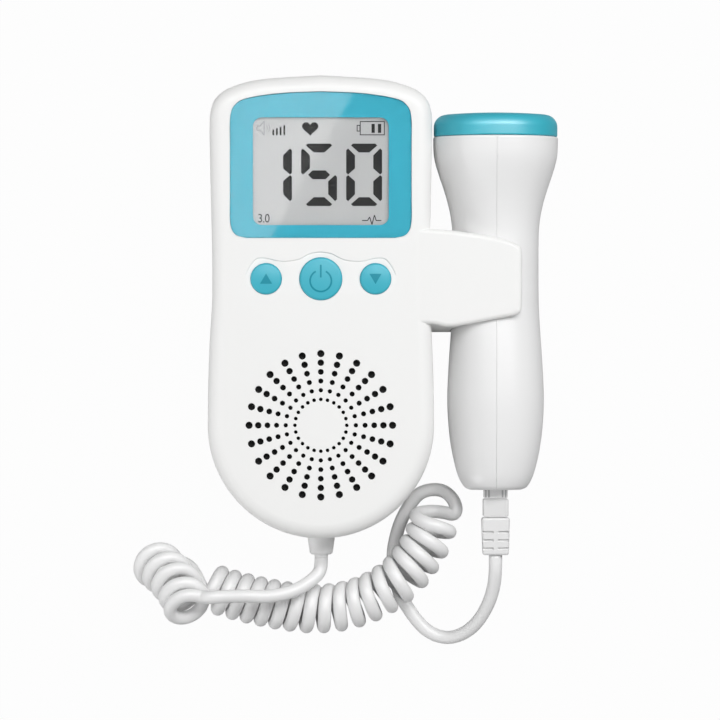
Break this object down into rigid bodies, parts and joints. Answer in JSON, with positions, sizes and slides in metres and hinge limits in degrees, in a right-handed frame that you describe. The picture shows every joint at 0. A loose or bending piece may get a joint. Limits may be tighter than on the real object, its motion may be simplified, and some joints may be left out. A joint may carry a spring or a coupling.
{
  "type": "fetal doppler",
  "caption": "Hand-held heartbeat detector on its back: display, round keys and sunburst speaker, a side clip holding its round probe, and a curly cord.",
  "frame": {"origin": "middle of the base of the unit and the probe, cord and plug left out", "axes": "+Z out of the display, +Y along the unit to its display end, +X from the unit to the probe"},
  "size_m": [0.1247, 0.1671, 0.0369],
  "materials": {
    "white_shell": "smooth satin white",
    "teal_plastic": "satin blue-green",
    "white_cord": "matt white jacket",
    "clear_lens": "polished clear",
    "teal_print": "printed blue-green film",
    "lcd": "grey reflective display",
    "black_cloth": "black woven cloth",
    "steel": "zinc plated",
    "black_plastic": "matt black",
    "board": "green solder mask",
    "inner_white": "plain white",
    "elastomer": "soft striped strip",
    "clear_plug": "smoky clear",
    "crystal": "silvered ceramic",
    "cell": "dark sleeve",
    "paper": "black pressed paper",
    "magnet": "dark ferrite"
  },
  "bodies": {
    "main_unit": {"front_housing": "white_shell", "rear_housing": "white_shell", "display_lens": "clear_lens", "display_mask": "teal_print", "lcd_panel": "lcd", "lcd_frame": "inner_white", "zebra_connector": "elastomer", "power_switch": "steel", "volume_up_switch": "steel", "volume_down_switch": "steel", "main_board": "board", "signal_chip": "black_plastic", "headphone_socket": "black_plastic", "speaker_cloth": "black_cloth", "speaker_basket": "steel", "speaker_cone": "paper", "speaker_magnet": "magnet", "battery_left": "cell", "battery_right": "cell", "battery_spring_left": "steel", "battery_spring_right": "steel", "battery_contact_lower": "steel", "battery_contact_upper": "steel", "screw_upper_right": "steel", "screw_upper_left": "steel", "screw_lower_right": "steel", "screw_lower_left": "steel", "board_screw_right": "steel", "board_screw_left": "steel", "strain_relief": "white_shell", "cord_curly": "white_cord", "cord_lead_probe": "white_cord"},
    "power_key": {"power_button": "teal_plastic", "power_plunger": "black_plastic"},
    "volume_up_key": {"volume_up_button": "teal_plastic", "volume_up_plunger": "black_plastic"},
    "volume_down_key": {"volume_down_button": "teal_plastic", "volume_down_plunger": "black_plastic"},
    "battery_door": {"battery_cover": "white_shell"},
    "probe": {"probe_shell_left": "white_shell", "probe_shell_right": "white_shell", "probe_cap": "teal_plastic", "transmit_crystal": "crystal", "receive_crystal": "crystal", "crystal_backing": "elastomer", "probe_board": "board", "probe_chip": "black_plastic", "probe_socket": "black_plastic"},
    "plug": {"plug_tongue": "clear_plug", "plug_housing": "white_shell", "plug_boot": "white_shell"}
  },
  "joints": [
    {"name": "power_press", "type": "slide", "parent": "main_unit", "child": "power_key", "axis": [0, 0, -1], "range_m": [0, 0.0008], "stiffness_N_per_m": 900, "springref_m": -0.0004},
    {"name": "volume_up_press", "type": "slide", "parent": "main_unit", "child": "volume_up_key", "axis": [0, 0, -1], "range_m": [0, 0.0008], "stiffness_N_per_m": 900, "springref_m": -0.0004},
    {"name": "volume_down_press", "type": "slide", "parent": "main_unit", "child": "volume_down_key", "axis": [0, 0, -1], "range_m": [0, 0.0008], "stiffness_N_per_m": 900, "springref_m": -0.0004},
    {"name": "battery_cover_slide", "type": "slide", "parent": "main_unit", "child": "battery_door", "axis": [0, -1, 0], "range_m": [0, 0.007]},
    {"name": "probe_out_of_clip", "type": "slide", "parent": "main_unit", "child": "probe", "axis": [1, 0, 0], "range_m": [0, 0.045]},
    {"name": "plug_pull", "type": "slide", "parent": "probe", "child": "plug", "axis": [0, -1, 0], "range_m": [0, 0.012], "deforming": ["cord_lead_probe"]}
  ]
}
